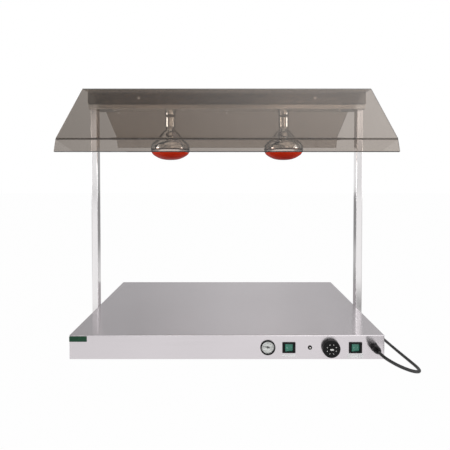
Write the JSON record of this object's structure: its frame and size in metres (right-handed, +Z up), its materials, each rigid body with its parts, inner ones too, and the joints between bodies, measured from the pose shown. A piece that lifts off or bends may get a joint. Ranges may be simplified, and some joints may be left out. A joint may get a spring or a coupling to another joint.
{
  "type": "food heat lamp",
  "caption": "Heated stainless serving deck with upright tube posts, a beam of infrared reflector lamps under a bent smoked roof canopy, a front control panel and a mains cord.",
  "frame": {"origin": "on the floor under the middle of the object without its free cord, in the plane of the posts", "axes": "+Z up, -Y towards the control panel's front, +X to the right seen from the front"},
  "size_m": [0.9304, 0.8106, 0.7651],
  "materials": {
    "deck_steel": "satin polished stainless",
    "post_steel": "bright stainless tube",
    "beam_steel": "folded stainless",
    "screw_steel": "zinc plated",
    "polished_metal": "polished",
    "smoked_acrylic": "clear smoked brown sheet",
    "washer_plastic": "black nylon",
    "lamp_glass": "silvered flank, ruby crown",
    "black_insulator": "black moulded insulator",
    "black_plastic": "black moulded",
    "green_plastic": "translucent green",
    "clear_glass": "clear",
    "pilot_lens": "clear pale lens",
    "dial_white": "white dial",
    "needle_black": "black",
    "spindle_brass": "turned",
    "element_sheath": "oxidised sheath",
    "mineral_wool": "mineral wool",
    "black_rubber": "matt rubber"
  },
  "bodies": {
    "stand": {"beam_cover": "beam_steel", "beam_end_left": "beam_steel", "beam_end_right": "beam_steel", "beam_screws": "screw_steel", "beam_spacers": "screw_steel", "bottom_plate": "deck_steel", "bottom_screws": "screw_steel", "canopy": "smoked_acrylic", "canopy_nuts": "screw_steel", "canopy_screws": "screw_steel", "canopy_washers": "washer_plastic", "clamp_studs": "screw_steel", "cord_coil": "black_rubber", "cord_tie": "black_plastic", "deck_shell": "deck_steel", "element_clamps": "deck_steel", "foot_back_left": "black_rubber", "foot_back_right": "black_rubber", "foot_front_left": "black_rubber", "foot_front_right": "black_rubber", "gland_body": "black_plastic", "gland_cap": "black_plastic", "gland_locknut": "black_plastic", "heat_shield": "deck_steel", "heat_switch_housing": "black_plastic", "heating_element": "element_sheath", "holder_core_left": "black_insulator", "holder_core_right": "black_insulator", "holder_nipples": "screw_steel", "holder_shell_left": "polished_metal", "holder_shell_right": "polished_metal", "insulation_mat": "mineral_wool", "lamp_channel": "beam_steel", "lamp_switch_housing": "black_plastic", "pilot_bezel": "black_plastic", "pilot_lens": "pilot_lens", "plug_body": "black_plastic", "plug_pins": "screw_steel", "post_bolts": "screw_steel", "post_inserts": "screw_steel", "post_left": "post_steel", "post_plugs": "black_plastic", "post_right": "post_steel", "supply_cord": "black_rubber", "terminal_block": "black_insulator", "thermometer_case": "black_plastic", "thermometer_dial": "dial_white", "thermometer_lens": "clear_glass", "thermostat_body": "black_insulator"},
    "knob": {"thermostat_knob": "black_plastic", "thermostat_spindle": "spindle_brass"},
    "lamp_rocker": {"lamp_switch_rocker": "green_plastic"},
    "heat_rocker": {"heat_switch_rocker": "green_plastic"},
    "needle": {"thermometer_needle": "needle_black"},
    "lamp_left": {"lamp_glass_left": "lamp_glass", "lamp_cap_left": "polished_metal"},
    "lamp_right": {"lamp_glass_right": "lamp_glass", "lamp_cap_right": "polished_metal"}
  },
  "joints": [
    {"name": "knob_turn", "type": "hinge", "parent": "stand", "child": "knob", "pos_m": [0.276, -0.268, 0.037], "axis": [0, 1, 0], "range_deg": [0, 300]},
    {"name": "lamp_rocker_tilt", "type": "hinge", "parent": "stand", "child": "lamp_rocker", "pos_m": [0.165, -0.264, 0.037], "axis": [0, 0, 1], "range_deg": [-20, 0]},
    {"name": "heat_rocker_tilt", "type": "hinge", "parent": "stand", "child": "heat_rocker", "pos_m": [0.342, -0.264, 0.037], "axis": [0, 0, 1], "range_deg": [-20, 0]},
    {"name": "needle_turn", "type": "hinge", "parent": "stand", "child": "needle", "pos_m": [0.109, -0.268, 0.037], "axis": [0, -1, 0], "range_deg": [-216, 54]},
    {"name": "lamp_left_unscrew", "type": "hinge", "parent": "stand", "child": "lamp_left", "pos_m": [-0.185, 0, 0.65], "axis": [0, 0, -1], "range_deg": [0, 1080]},
    {"name": "lamp_right_unscrew", "type": "hinge", "parent": "stand", "child": "lamp_right", "pos_m": [0.185, 0, 0.65], "axis": [0, 0, -1], "range_deg": [0, 1080]}
  ]
}
